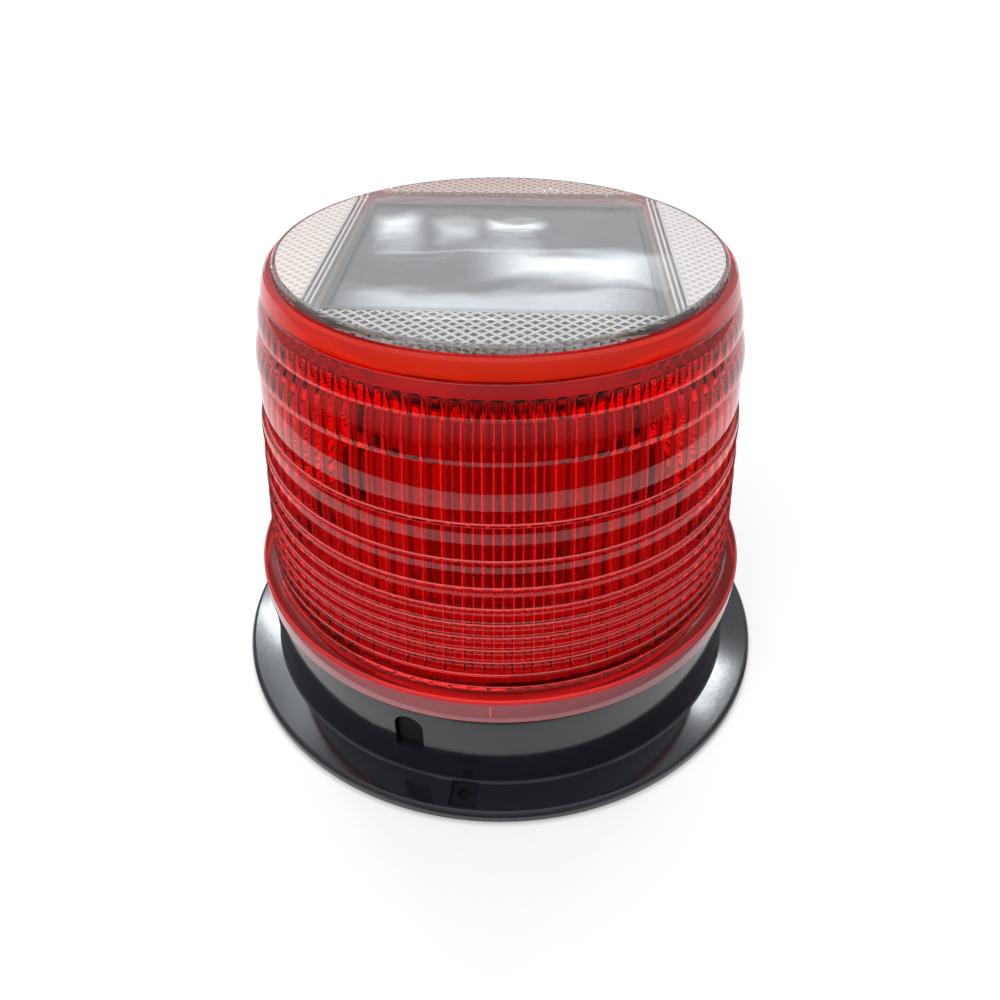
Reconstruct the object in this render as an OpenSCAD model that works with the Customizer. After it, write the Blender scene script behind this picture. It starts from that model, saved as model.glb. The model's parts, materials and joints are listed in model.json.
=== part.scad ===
// Round solar warning light: a red ringed drum lens on a black screw-down base.
// A clear cover with prism fields closes the top and holds a solar panel.
// Millimetres, Z up, origin on the mounting face at the axis; the front is -Y.

/* [Base] */
// Outer radius of the base wall at the flange
wall_r = 57; // [50:0.25:65]
// Width of the screw-down flange outside the wall
flange_w = 8; // [7.6:0.1:14]
// Height of the flange at its foot on the wall
flange_h = 3; // [2.6:0.1:5]
// Fall of the flange top towards the rim
flange_fall = 0.4; // [0.1:0.1:0.8]
// Rounding of the flange rim
rim_round = 1.2; // [0.6:0.1:1.6]
// Narrowing of the wall radius from flange to shoulder
wall_draft = 0.4; // [0:0.1:0.8]
// Thickness of the base wall
wall_t = 2.4; // [2:0.1:3]
// Height of the shoulder under the lens
shoulder_z = 22.7; // [21:0.1:28]
// Thickness of the deck that closes the base
deck_t = 1.6; // [1.2:0.1:2]
// Inset of the spigot from the wall
spigot_inset = 3.1; // [2.9:0.1:3.4]
// Thickness of the spigot wall
spigot_t = 3.4; // [3:0.1:4]
// Height of the spigot above the shoulder
spigot_h = 6; // [5:0.1:7]
// Radius of the hole for the wires in the deck
wire_hole_r = 5; // [4:0.5:7]

/* [Flange screws] */
// Number of screw pockets around the flange
screw_count = 3; // [2:1:6]
// Distance of the screw holes from the wall
screw_out = 2.5; // [2.2:0.1:4]
// Radius of the screw holes
screw_hole_r = 1.6; // [1.2:0.1:1.8]
// Direction of the first screw pocket, degrees
screw_az = 265.2; // [250:0.1:290]
// Width of a screw pocket
pocket_w = 5.8; // [4.5:0.1:7]
// Floor height of a screw pocket
pocket_floor = 1.6; // [1.2:0.1:2]
// Flange width left outside a screw pocket
pocket_edge = 1.6; // [1.4:0.1:2.4]

/* [Bottom cover] */
// Thickness of the bottom cover
cover_t = 1.5; // [1.2:0.1:1.8]
// Height of the cover above the mounting face
cover_lift = 0.6; // [0.3:0.1:1]
// Radial gap between the cover and the housing
cover_gap = 0.2; // [0.1:0.05:0.4]
// Width of the ledge that carries the cover seal
ledge_w = 2; // [1.6:0.1:2.6]
// Thickness of the bottom seal
bottom_seal_t = 0.5; // [0.4:0.1:0.8]
// Inset of the cover screws from the cavity wall
cover_screw_inset = 6.7; // [6:0.1:8]
// Radius of the cover screw bosses
boss_r = 3.4; // [3:0.1:3.6]
// Radius of the self-tapping screw shanks
shank_r = 1.2; // [1:0.05:1.4]
// Radius of the screw heads
head_r = 2.2; // [2:0.1:2.4]
// Height of the screw heads
head_h = 1.3; // [1:0.1:1.4]

/* [Lens rings] */
// Height of the plain foot below the rings
foot_h = 3.8; // [3:0.1:6]
// Height of the plain centre ring
centre_h = 11.6; // [10:0.1:13]
// Height of the first ring beside the centre
ring_first = 7.4; // [6:0.1:8]
// Height ratio of each ring to the one before
ring_ratio = 0.8; // [0.75:0.01:0.85]
// Smallest ring height
ring_least = 3.1; // [2.6:0.1:3.4]
// Rings above the centre ring
rings_up = 2; // [1:1:3]
// Rings below the centre ring
rings_down = 8; // [5:1:8]
// Step under each ring edge down to the centre ring
ring_step = 0.8; // [0.5:0.05:1]
// Step over each ring edge below the centre ring
low_step = 0.45; // [0.3:0.05:0.8]
// Radius of curvature of the ring faces
ring_curve = 34; // [25:1:60]
// Inset of the ring edges from the base wall at the top of the centre ring
ring_inset = 7.5; // [7:0.1:8]
// Draft of the ring edges below the centre, degrees
draft_down = 5.5; // [5:0.1:6]
// Draft of the ring edges above the centre, degrees
draft_up = 12.8; // [11:0.1:14]

/* [Lens body] */
// Overhang of the lens skirt over the wall
skirt_over = 0.2; // [0:0.1:1]
// Height of the lens skirt
skirt_h = 6.4; // [6.2:0.1:7]
// Radial gap between skirt and spigot
skirt_gap = 0.3; // [0.2:0.05:0.5]
// Gap between the skirt and the shoulder
lens_lift = 0.3; // [0.2:0.05:0.4]
// Wall thickness of the lens at its foot
lens_wall = 2.3; // [2:0.1:2.6]
// Wall thickness of the lens under its rim
rim_wall = 1.5; // [1.3:0.1:1.7]
// Number of flutes around the inside
flute_count = 84; // [60:1:96]
// Radius of a flute
flute_r = 1.3; // [1:0.05:1.4]
// Depth of a flute
flute_depth = 0.6; // [0.4:0.05:0.7]
// Height of the rim above the top ring
rim_h = 3.8; // [3.4:0.1:4.4]

/* [Lens lock] */
// Number of bayonet lugs
lug_count = 3; // [2:1:4]
// Angle covered by a lug, degrees
lug_span = 9; // [6:1:12]
// Reach of a lug inside the skirt
lug_reach = 1.6; // [1.2:0.1:1.8]
// Height of a lug
lug_h = 2; // [1.6:0.1:2.4]
// Height of the lug underside above the shoulder
lug_lift = 2.5; // [2.2:0.1:3]
// Twist from locked to free, degrees
twist = 20; // [15:1:25]
// Gap around a lug in its groove
lug_gap = 0.3; // [0.2:0.05:0.4]
// Thickness of the lens seal
lens_seal_t = 1; // [0.8:0.1:1]
// Width of the lens seal
lens_seal_w = 1.4; // [1.2:0.1:1.5]

/* [Top cover] */
// Width of the lens rim outside the top cover
rim_lip = 2; // [1.8:0.05:2.2]
// Radial gap between top cover and lens rim
top_gap = 0.15; // [0.1:0.01:0.2]
// Height of the top face above the lens rim
top_proud = 1.3; // [0.8:0.1:1.6]
// Thickness of the clear plate
plate_t = 2; // [1.8:0.1:2.2]
// Height of the cover rim band
band_h = 0.9; // [0.8:0.1:1]
// Width of the cover rim band
band_w = 1; // [0.9:0.1:1.4]
// Glue line between the top cover and what it is bonded to
glue = 0.06; // [0.04:0.01:0.1]
// Clearance of the window corners inside the cover edge
window_inset = 0.6; // [0.5:0.05:0.8]
// Width of one guide rail
rail_w = 0.8; // [0.6:0.1:1]
// Distance between the two guide rails of a pair
rail_pitch = 1.6; // [1.5:0.1:1.8]
// Pitch of the prisms
prism_pitch = 2; // [1.8:0.1:2.4]
// Depth of the prisms
prism_h = 0.9; // [0.7:0.1:0.9]
// Plain band between window edge and prisms
prism_band = 2.7; // [2.6:0.1:3.5]

/* [Solar panel] */
// Gap between the panel board and the window edges
panel_gap = 0.5; // [0.4:0.05:1]
// Strip of the tray left open behind the panel
panel_strip = 3; // [1:0.1:5]
// Thickness of the panel board
panel_t = 1.2; // [1:0.1:1.4]
// Board edge left outside the clear coat
coat_inset = 0.7; // [0.4:0.1:1.2]
// Thickness of the clear coat
coat_t = 0.8; // [0.6:0.1:0.9]
// Thickness of the bonding frame
bond_t = 0.3; // [0.2:0.05:0.4]
// Width of the bonding frame
bond_w = 1.2; // [1:0.1:1.6]
// Number of cell strips
cell_count = 8; // [4:1:10]
// Width of the cut between cell strips
cell_cut = 0.12; // [0.1:0.02:0.3]
// Thickness of the cells
cell_t = 0.3; // [0.2:0.05:0.4]
// Thickness of the tray floor under the panel
tray_t = 1.4; // [1.2:0.1:1.8]
// Width of the tray rim under the cover
tray_rim = 1.1; // [0.9:0.1:1.3]
// Radial gap between the tray and the lens ledge
tray_gap = 0.2; // [0.15:0.05:0.4]
// Radius of the hole for the panel leads
tray_hole_r = 3; // [2.6:0.1:4]

/* [Light post] */
// Thickness of the reflector plate
reflector_t = 1.6; // [1.2:0.1:2]
// Radial gap between reflector plate and spigot
reflector_gap = 0.3; // [0.2:0.1:0.5]
// Width across the flats of the six-sided post
post_af = 24; // [22:0.5:26]
// Wall thickness of the post
post_t = 1.8; // [1.5:0.1:2.2]
// Free height between the post and the panel board
post_gap = 5; // [4.5:0.1:5.4]
// Radius of the post foot
foot_r = 20; // [19:0.5:22]
// Thickness of the post foot
foot_t = 2; // [1.6:0.1:2.6]
// Circle radius of the post screws
post_screw_circle = 17; // [16.5:0.5:17.5]
// Width of an LED board
led_board_w = 11; // [9:0.5:12]
// Height of an LED board
led_board_h = 28; // [24:0.5:28]
// Thickness of an LED board
led_board_t = 1.2; // [1:0.1:1.6]
// Side of an LED package
led_side = 5; // [4:0.5:5.5]
// Thickness of an LED package
led_t = 1.6; // [1.2:0.1:2]
// Distance between the two LED rows
led_rows = 12; // [8:0.5:14]

/* [Electronics] */
// Gap between the main board corners and the cavity wall
board_gap = 4.6; // [4:0.1:6]
// Width of the main board
board_w = 34; // [33:0.5:35]
// Thickness of the main board
board_t = 1.6; // [1.2:0.1:2]
// Distance of the main board top from the deck
board_drop = 10; // [9.8:0.1:10.4]
// Distance of the main board from the front of the cavity wall
board_rim = 14.2; // [13.5:0.1:15]
// Inset of the board screws from the board edges
board_inset = 3.5; // [3.2:0.1:4]
// Radius of a battery cell
cell_r = 7.2; // [7:0.05:7.25]
// Length of a battery cell
cell_l = 50; // [48:0.5:50.5]
// Distance of the battery holder from the back of the cavity wall
battery_rim = 15; // [14.5:0.1:16]
// Wall of the battery holder
holder_t = 1.4; // [1.2:0.1:1.6]
// Gap around the battery cells
battery_gap = 0.3; // [0.2:0.1:0.4]
// Thickness of the battery contacts
contact_t = 0.5; // [0.4:0.1:0.6]
// Radius of a lead
lead_r = 0.7; // [0.5:0.05:0.8]

/* [Push button] */
// Direction of the button in the wall, degrees
button_az = 253; // [245:0.5:258]
// Width of the arch-shaped opening
arch_w = 6.4; // [5.5:0.1:7]
// Wall left above the arch-shaped opening
arch_margin = 2.4; // [2.2:0.1:4]
// Height of the lower edge of the opening
arch_z = 10; // [9.8:0.1:10.2]
// Gap between button and opening
button_gap = 0.3; // [0.2:0.05:0.4]
// Depth of the button face behind the wall
button_sink = 1.2; // [0.8:0.1:1.6]
// Travel of the button
button_travel = 1.5; // [1:0.1:1.6]
// Size of the switch body
switch_side = 8; // [7:0.5:8.5]
// Radius of the switch stem
stem_r = 1.5; // [1.2:0.1:1.8]
// Running gap of the stem in the switch body
stem_gap = 0.06; // [0.04:0.01:0.08]

/* [Hidden] */
$fn = 96;
slack = 1;
thread_gap = 0.03;

// Base heights and radii
flange_r = wall_r + flange_w;
cavity_r = wall_r - wall_draft - wall_t;
cover_top = cover_lift + cover_t;
ledge_z = cover_top + bottom_seal_t;
wall_top_r = wall_r - wall_draft;
deck_top = shoulder_z - 0.5;
deck_under = deck_top - deck_t;
spigot_r = wall_r - spigot_inset;
spigot_in = spigot_r - spigot_t;
spigot_top = shoulder_z + spigot_h;
screw_circle = wall_r + screw_out;
cover_screw_circle = cavity_r - cover_screw_inset;
boss_foot = cover_top + 2;

// Lens heights and radii
lens_foot = shoulder_z + lens_lift;
seal_mid = (spigot_r + wall_top_r) / 2;
seal_out = seal_mid + lens_seal_w / 2 + 0.1;
seal_in = seal_mid - lens_seal_w / 2 - 0.1;
seal_top = lens_foot - 0.1;
seal_floor = seal_top - lens_seal_t;
skirt_r = wall_r + skirt_over;
skirt_in = spigot_r + skirt_gap;
skirt_top = lens_foot + skirt_h;
shoulder_in = skirt_top - 0.4;
function ring_h(n) = max(ring_least, ring_first * pow(ring_ratio, n - 1));
function ring_sum(n) = n <= 0 ? 0 : ring_h(n) + ring_sum(n - 1);
rings_foot = skirt_top + foot_h;
band_low = rings_foot + ring_sum(rings_down);
focal_z = band_low + centre_h / 2;
band_top = band_low + centre_h;
function z_up(n) = band_top + ring_sum(n);
function z_down(n) = band_low - ring_sum(n);
ring_r = wall_r - ring_inset;
function edge_r(z) =
  z > band_top ? ring_r - (z - band_top) * tan(draft_up) : ring_r + (band_top - z) * tan(draft_down);
rim_z = z_up(rings_up) + rim_h;
rim_r = edge_r(rim_z);
foot_out = edge_r(rings_foot);
foot_in = foot_out - lens_wall;
flute_low = rings_foot - 0.4;
flute_high = rim_z - 5.6;
inner_low = foot_in - flute_depth - 0.1;
inner_high = rim_r - rim_wall;
inner_lean = atan((inner_low - inner_high) / (flute_high - flute_low));

// Top cover, panel and tray
top_r = rim_r - rim_lip;
seat_r = top_r + top_gap;
top_z = rim_z + top_proud;
plate_z = top_z - plate_t;
seat_z = plate_z - band_h;
band_in = top_r - band_w;
ledge_r = top_r - 0.7;
window_half = (top_r - window_inset) / sqrt(2) + 0.1;
corner_half = window_half - 0.1;
corner_cut = 2 * corner_half;
panel_side = 2 * (window_half - panel_gap);
panel_depth = panel_side - panel_strip;
panel_y = -panel_strip / 2;
coat_side = panel_side - 2 * coat_inset;
coat_depth = panel_depth - 2 * coat_inset;
bond_z = plate_z - glue - bond_t;
coat_z = bond_z - coat_t;
cells_z = coat_z - glue - cell_t;
panel_z = cells_z - panel_t;
tray_r = ledge_r - tray_gap;
tray_in = tray_r - tray_rim;
tray_z = panel_z - tray_t;
tray_top = seat_z - glue;

// Light post
foot_z = deck_top + reflector_t;
post_z = foot_z + foot_t;
post_top = panel_z - post_gap;
hex_turn = 30;
post_in = post_af - 2 * post_t;
led_face = post_af / 2 + led_board_t;
led_low = focal_z - led_board_h / 2;
lead_face = 240;
lead_way = [cos(lead_face), sin(lead_face), 0];
function post_at(t) = foot_z + (post_top - foot_z) * t;

// Electronics
board_top = deck_under - board_drop;
board_z = board_top - board_t;
board_back = cavity_r - board_rim - board_w / 2;
board_l = 2 * sqrt(pow(cavity_r - board_gap, 2) - pow(board_back + board_w / 2, 2));
board_post_x = board_l / 2 - board_inset;
board_post_y = board_w / 2 - board_inset;
holder_l = cell_l + 2 * contact_t + 2 * battery_gap + 2 * holder_t;
holder_w = 4 * cell_r + 3 * battery_gap + 2 * holder_t;
holder_end = holder_l / 2;
battery_back = cavity_r - battery_rim - holder_w / 2;
holder_front = battery_back - holder_w / 2;
battery_z = deck_under - holder_t - battery_gap - cell_r;
holder_z = battery_z - cell_r;
cell_y = cell_r + battery_gap / 2;
connector_h = 5;
connector_y = -board_back + board_w / 2 - 6;
function holder_to_plug(t) = holder_front + (connector_y - holder_front) * t;
lead_end = board_top + connector_h + 0.1;
lead_high = deck_under - 2;
panel_plug_x = 0.04 * board_l;
led_plug_x = -0.14 * board_l;
battery_plug_x = -0.31 * board_l;
switch_plug_x = 0.22 * board_l;

// Push button along its own axis: u outward, z up
arch_h = shoulder_z - arch_margin - arch_z;
arch_mid = arch_z + arch_h / 2;
button_out = wall_top_r - button_sink;
collar_out = cavity_r - 0.7;
button_in = collar_out - 1.2;
switch_out = button_in - button_travel - 0.8;
stem_in = switch_out - 3;
button_way = [cos(button_az), sin(button_az), 0];
button_side = [-sin(button_az), cos(button_az), 0];

// Sampled quarter arc from one angle to another about a centre
function arc(c, r, a, b, n = 5) = [for (i = [0 : n])
  let (t = a + (b - a) * i / n) c + r * [cos(t), sin(t)]];

// Ring face from p to q, bulging to the outside, without its last point
function bow(p, q, n = 5) =
  let (d = q - p, side = [-d[1], d[0]] / norm(d), sag = pow(norm(d), 2) / 8 / ring_curve)
  [for (i = [0 : n - 1]) p + d * i / n + side * (4 * sag * (i / n) * (1 - i / n))];

// Closed section of the base shell, from the cover pocket round the outside
base_section = concat(
  [[cavity_r, 0], [flange_r - 0.4, 0], [flange_r, 0.4]],
  arc([flange_r - rim_round, flange_h - flange_fall - rim_round], rim_round, 0, 85),
  arc([wall_r + 0.8, flange_h + 0.8], 0.8, 265, 181),
  arc([wall_top_r - 0.3, shoulder_z - 0.3], 0.3, 0, 90, 3),
  [[seal_out, shoulder_z], [seal_out, seal_floor], [seal_in, seal_floor], [seal_in, shoulder_z]],
  [[spigot_r, shoulder_z], [spigot_r, spigot_top - 0.5], [spigot_r - 0.5, spigot_top]],
  [[spigot_in, spigot_top], [spigot_in, deck_top], [wire_hole_r, deck_top], [wire_hole_r, deck_under]],
  [[cavity_r, deck_under], [cavity_r, ledge_z + ledge_w + 1.6]],
  [[cavity_r - ledge_w, ledge_z + 1.6], [cavity_r - ledge_w, ledge_z], [cavity_r, ledge_z]]
);

// Closed section of the lens, up the inside and down the rings outside
lens_inside = [
  [skirt_in, lens_foot], [skirt_in, shoulder_in], [foot_in, shoulder_in],
  [foot_in, flute_low - flute_depth], [inner_low, flute_low], [inner_high, flute_high],
  [inner_high + 0.8, flute_high + 0.8], [inner_high + 0.8, seat_z - 1.9],
  [ledge_r, seat_z - 0.9], [ledge_r, seat_z - glue], [seat_r, seat_z - glue], [seat_r, rim_z]
];
lens_rim = concat(
  [[rim_r - 0.9, rim_z]],
  bow([rim_r - 0.3, rim_z - 0.5], [edge_r(z_up(rings_up)), z_up(rings_up)])
);
function ring_above(n) = concat(
  [[edge_r(z_up(n)), z_up(n)]],
  bow([edge_r(z_up(n)) - ring_step, z_up(n) - 0.1], [edge_r(z_up(n - 1)), z_up(n - 1)])
);
function ring_below(n) = concat(
  bow([edge_r(z_down(n - 1)), z_down(n - 1)], [edge_r(z_down(n)) - low_step, z_down(n) + 0.1]),
  [[edge_r(z_down(n)) - low_step, z_down(n) + 0.1]]
);
lens_centre = concat(
  [[edge_r(band_top), band_top]],
  bow([edge_r(band_top) - ring_step, band_top - 0.1], [edge_r(band_low) - ring_step, band_low + 0.1], 7),
  [[edge_r(band_low) - ring_step, band_low + 0.1]]
);
lens_skirt = concat(
  [[foot_out, rings_foot], [foot_out, skirt_top + 0.8], [foot_out + 0.6, skirt_top + 0.1]],
  arc([skirt_r - 1, skirt_top - 1], 1, 85, 0),
  [[skirt_r, lens_foot + 0.4], [skirt_r - 0.4, lens_foot]]
);
lens_section = concat(
  lens_inside, lens_rim,
  [for (n = [rings_up : -1 : 1]) each ring_above(n)],
  lens_centre,
  [for (n = [1 : rings_down]) each ring_below(n)],
  lens_skirt
);

// Hand-chosen routes of the leads; heights follow the pieces they join
panel_route = [
  [0, 0, panel_z - 0.2], [0, 0.2, panel_z - 3], [0, 0.4, post_top], [1, 1, post_at(0.87)],
  [2, 2, post_at(0.65)], [2, 3, post_at(0.38)], [1.5, 2, post_at(0.16)], [1, 0, foot_z],
  [1.2, -2, lead_high + 1],
  [panel_plug_x, connector_y / 2, lead_high], [panel_plug_x, connector_y + 0.6, lead_high - 0.4],
  [panel_plug_x, connector_y, lead_end + 1.4], [panel_plug_x, connector_y, lead_end]
];
led_route = [
  lead_way * (post_af / 2 - 0.2) + [0, 0, led_low + 2],
  lead_way * (post_in / 2 - 1.2) + [0, 0, led_low + 1.8],
  lead_way * (post_in / 2 - 2.2) + [0, 0, led_low], [-3.4, -5, led_low - 8], [-2.6, -3.4, post_at(0.32)],
  [-2, -2, post_at(0.16)], [-2, -2, foot_z], [-2.4, connector_y / 3, lead_high + 1],
  [led_plug_x + 2, 0.72 * connector_y, lead_high], [led_plug_x, connector_y + 0.6, lead_high - 0.4],
  [led_plug_x, connector_y, lead_end + 1.4], [led_plug_x, connector_y, lead_end]
];
battery_route = [
  [battery_plug_x, holder_front - 0.1, battery_z + 4],
  [battery_plug_x, holder_to_plug(0.25), battery_z + 4.6],
  [battery_plug_x, holder_to_plug(0.55), lead_high - 1.2], [battery_plug_x, holder_to_plug(0.85), lead_high],
  [battery_plug_x, connector_y + 0.3, lead_high - 0.6],
  [battery_plug_x, connector_y, lead_end + 1.4], [battery_plug_x, connector_y, lead_end]
];
switch_route = [
  button_way * (switch_out - 8.1) + [0, 0, arch_mid], button_way * (switch_out - 11) + [0, 0, arch_mid],
  [-6, connector_y - 18, lead_high - 1.6], [3, connector_y - 11, lead_high - 0.4],
  [10, connector_y - 4, lead_high],
  [switch_plug_x, connector_y - 0.6, lead_high - 0.4], [switch_plug_x, connector_y, lead_end + 1.4],
  [switch_plug_x, connector_y, lead_end]
];

// One lead swept along a route as an eight-sided tube
module lead(route, shift = [0, 0, 0]) {
  sides = 8;
  last = len(route) - 1;
  rings = [for (i = [0 : last])
    let (
      way = route[min(i + 1, last)] - route[max(i - 1, 0)],
      t = way / norm(way),
      side = cross(t, [0.31, 0.93, 0.2]),
      u = side / norm(side),
      v = cross(t, u)
    )
    each [for (k = [0 : sides - 1]) route[i] + shift + lead_r * (u * cos(k * 45) + v * sin(k * 45))]
  ];
  walls = [for (i = [0 : last - 1], k = [0 : sides - 1])
    each let (a = i * sides + k, b = i * sides + (k + 1) % sides)
    [[a, b, b + sides], [a, b + sides, a + sides]]
  ];
  ends = [[for (k = [sides - 1 : -1 : 0]) k], [for (k = [0 : sides - 1]) last * sides + k]];
  polyhedron(rings, concat(walls, ends));
}

// Copies at the four cover screws
module at_cover_screws() {
  for (k = [0 : 3]) rotate([0, 0, 90 * k]) translate([cover_screw_circle, 0, 0]) children();
}

// Copies at the four main board screws
module at_board_screws() {
  for (x = [-1, 1], y = [-1, 1]) translate([x * board_post_x, y * board_post_y - board_back, 0]) children();
}

// Copies at the three post screws
module at_post_screws() {
  for (k = [0 : 2]) rotate([0, 0, 30 + 120 * k]) translate([post_screw_circle, 0, 0]) children();
}

// Copies on the six faces of the post
module at_post_faces() {
  for (k = [0 : 5]) rotate([0, 0, 60 * k]) children();
}

// Pan-head screw pointing up from its head at z = 0
module screw(length) {
  rotate_extrude() polygon([
    [0, 0], [head_r - 0.5, 0], [head_r, 0.5], [head_r, head_h], [shank_r, head_h],
    [shank_r, head_h + length - 1], [0.3, head_h + length], [0, head_h + length]
  ]);
}

// Part ring between two radii and two heights over an angle
module sector(from, span, r0, r1, z0, z1) {
  rotate([0, 0, from]) rotate_extrude(angle = span) translate([r0, z0]) square([r1 - r0, z1 - z0]);
}

// Arch with a flat foot and a round head, pushed out along the button axis from u0 to u1
module arch(w, h, foot, u0, u1) {
  rotate([0, 0, button_az]) translate([u0, 0, foot]) rotate([90, 0, 90]) linear_extrude(u1 - u0) {
    translate([-w / 2, 0]) square([w, h - w / 2]);
    translate([0, h - w / 2]) circle(r = w / 2);
  }
}

// Block along the button axis from u0 to u1, centred across it
module button_block(u0, u1, w, z0, z1, side = 0) {
  rotate([0, 0, button_az]) translate([u0, side - w / 2, z0]) cube([u1 - u0, w, z1 - z0]);
}

module base_housing() {
  cheek = 1.4;
  cheek_side = switch_side / 2 + 0.1 + cheek / 2;
  color([0.03, 0.03, 0.035]) difference() {
    union() {
      rotate_extrude() polygon(base_section);
      at_cover_screws() translate([0, 0, boss_foot]) cylinder(r = boss_r, h = deck_under - boss_foot + 0.5);
      at_board_screws() translate([0, 0, board_top]) cylinder(r = 3, h = deck_under - board_top + 0.5);
      for (s = [-1, 1])
        button_block(switch_out - 6, switch_out - 1, cheek, arch_mid - 3.5, deck_under + 0.5, s * cheek_side);
    }
    at_cover_screws() translate([0, 0, boss_foot - slack]) cylinder(r = shank_r + thread_gap, h = 9 + slack);
    at_board_screws() translate([0, 0, board_top - slack]) cylinder(r = shank_r + thread_gap, h = 6 + slack);
    at_post_screws() translate([0, 0, deck_under - slack])
      cylinder(r = shank_r + thread_gap, h = deck_t + 2 * slack);
    for (k = [0 : screw_count - 1]) rotate([0, 0, screw_az + k * 360 / screw_count]) {
      translate([screw_circle, 0, -slack]) cylinder(r = screw_hole_r, h = flange_h + 2 * slack);
      translate([wall_r + 0.4, -pocket_w / 2, pocket_floor])
        cube([flange_r - pocket_edge - wall_r - 0.4, pocket_w, flange_h]);
    }
    for (k = [0 : lug_count - 1]) {
      low = shoulder_z + lug_lift - lug_gap;
      high = low + lug_h + 2 * lug_gap;
      floor_r = skirt_in - lug_reach - lug_gap;
      free = k * 360 / lug_count - lug_span / 2 - 1;
      sector(free, lug_span + twist + 2, floor_r, spigot_r + slack, low, high);
      sector(free + twist + 0.2, lug_span + 1.6, floor_r - 0.1, spigot_r + slack,
        low + 0.5, spigot_top + slack);
    }
    arch(arch_w, arch_h, arch_z, cavity_r - 2, wall_r + slack);
  }
}

module bottom_cover() {
  color([0.05, 0.05, 0.055]) difference() {
    union() {
      translate([0, 0, cover_lift]) cylinder(r = cavity_r - cover_gap, h = cover_t);
      at_cover_screws() translate([0, 0, cover_lift]) cylinder(r = boss_r, h = boss_foot - cover_lift);
    }
    at_cover_screws() translate([0, 0, cover_lift - slack])
      cylinder(r = head_r + 0.2, h = head_h + 0.2 + slack);
    at_cover_screws() translate([0, 0, cover_lift]) cylinder(r = shank_r + 0.2, h = boss_foot);
  }
}

module bottom_seal() {
  color([0.1, 0.1, 0.1]) translate([0, 0, cover_top]) difference() {
    cylinder(r = cavity_r - 0.3, h = bottom_seal_t);
    translate([0, 0, -slack]) cylinder(r = cavity_r - ledge_w + 0.2, h = bottom_seal_t + 2 * slack);
  }
}

module bottom_screws() {
  color([0.7, 0.7, 0.72]) at_cover_screws() translate([0, 0, cover_lift + 0.2]) screw(9);
}

module lens_seal() {
  color([0.12, 0.12, 0.12]) translate([0, 0, seal_floor]) difference() {
    cylinder(r = seal_mid + lens_seal_w / 2, h = lens_seal_t);
    translate([0, 0, -slack]) cylinder(r = seal_mid - lens_seal_w / 2, h = lens_seal_t + 2 * slack);
  }
}

module reflector_plate() {
  color([0.92, 0.92, 0.9]) translate([0, 0, deck_top]) difference() {
    cylinder(r = spigot_in - reflector_gap, h = reflector_t);
    translate([0, 0, -slack]) cylinder(r = wire_hole_r, h = reflector_t + 2 * slack);
    at_post_screws() translate([0, 0, -slack]) cylinder(r = shank_r + 0.2, h = reflector_t + 2 * slack);
  }
}

// Six-sided prism with flats facing the LED boards
module hex_bar(af, z0, z1) {
  rotate([0, 0, hex_turn]) translate([0, 0, z0]) cylinder(r = af / 2 / cos(30), h = z1 - z0, $fn = 6);
}

module light_post() {
  color([0.9, 0.9, 0.88]) difference() {
    union() {
      translate([0, 0, foot_z]) cylinder(r = foot_r, h = foot_t);
      hex_bar(post_af, post_z - 0.5, post_top);
    }
    hex_bar(post_in, foot_z - slack, post_top - 2);
    translate([0, 0, post_top - 3]) cylinder(r = 3.5, h = 4);
    at_post_screws() translate([0, 0, foot_z - slack]) cylinder(r = shank_r + 0.2, h = foot_t + 2 * slack);
    translate([0, 0, led_low + 2]) rotate([0, 90, lead_face]) cylinder(r = 1.6, h = post_af);
  }
}

module post_screws() {
  color([0.7, 0.7, 0.72]) at_post_screws() translate([0, 0, post_z + head_h]) rotate([180, 0, 0]) screw(5);
}

module led_boards() {
  color([0.85, 0.87, 0.85]) at_post_faces() translate([post_af / 2, -led_board_w / 2, led_low])
    cube([led_board_t, led_board_w, led_board_h]);
}

module led_packages() {
  color([0.95, 0.9, 0.7]) at_post_faces() for (s = [-1, 1])
    translate([led_face, -led_side / 2, focal_z + s * led_rows / 2 - led_side / 2])
      cube([led_t, led_side, led_side]);
}

module main_board() {
  color([0.05, 0.3, 0.12]) difference() {
    translate([-board_l / 2, -board_back - board_w / 2, board_z]) cube([board_l, board_w, board_t]);
    at_board_screws() translate([0, 0, board_z - slack]) cylinder(r = shank_r + 0.2, h = board_t + 2 * slack);
  }
}

module board_screws() {
  color([0.7, 0.7, 0.72]) at_board_screws() translate([0, 0, board_z - head_h]) screw(6);
}

module control_chip() {
  color([0.04, 0.04, 0.04]) translate([-0.08 * board_l, -board_back - 5, board_top]) cube([10, 6, 1.8]);
}

module charge_coil() {
  color([0.15, 0.12, 0.1]) translate([0.26 * board_l, -board_back - 6, board_top]) rotate_extrude()
    polygon([[0, 0], [4, 0], [4, 1], [3, 1.4], [3, 3.6], [4, 4], [4, 5], [0, 5]]);
}

module capacitors() {
  color([0.1, 0.1, 0.25]) for (s = [-1, 1])
    translate([s * 0.36 * board_l, -board_back + 1, board_top]) cylinder(r = 2.5, h = 7);
}

module connectors() {
  color([0.9, 0.88, 0.8]) for (x = [panel_plug_x, led_plug_x, battery_plug_x, switch_plug_x])
    translate([x - 2.6, connector_y - 2.5, board_top]) cube([5.2, 5, connector_h]);
}

module battery_holder() {
  color([0.06, 0.06, 0.06]) difference() {
    translate([-holder_l / 2, battery_back - holder_w / 2, holder_z])
      cube([holder_l, holder_w, deck_under - holder_z]);
    translate([-holder_l / 2 + holder_t, battery_back - holder_w / 2 + holder_t, holder_z - slack])
      cube([holder_l - 2 * holder_t, holder_w - 2 * holder_t, deck_under - holder_t - holder_z + slack]);
  }
}

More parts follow.
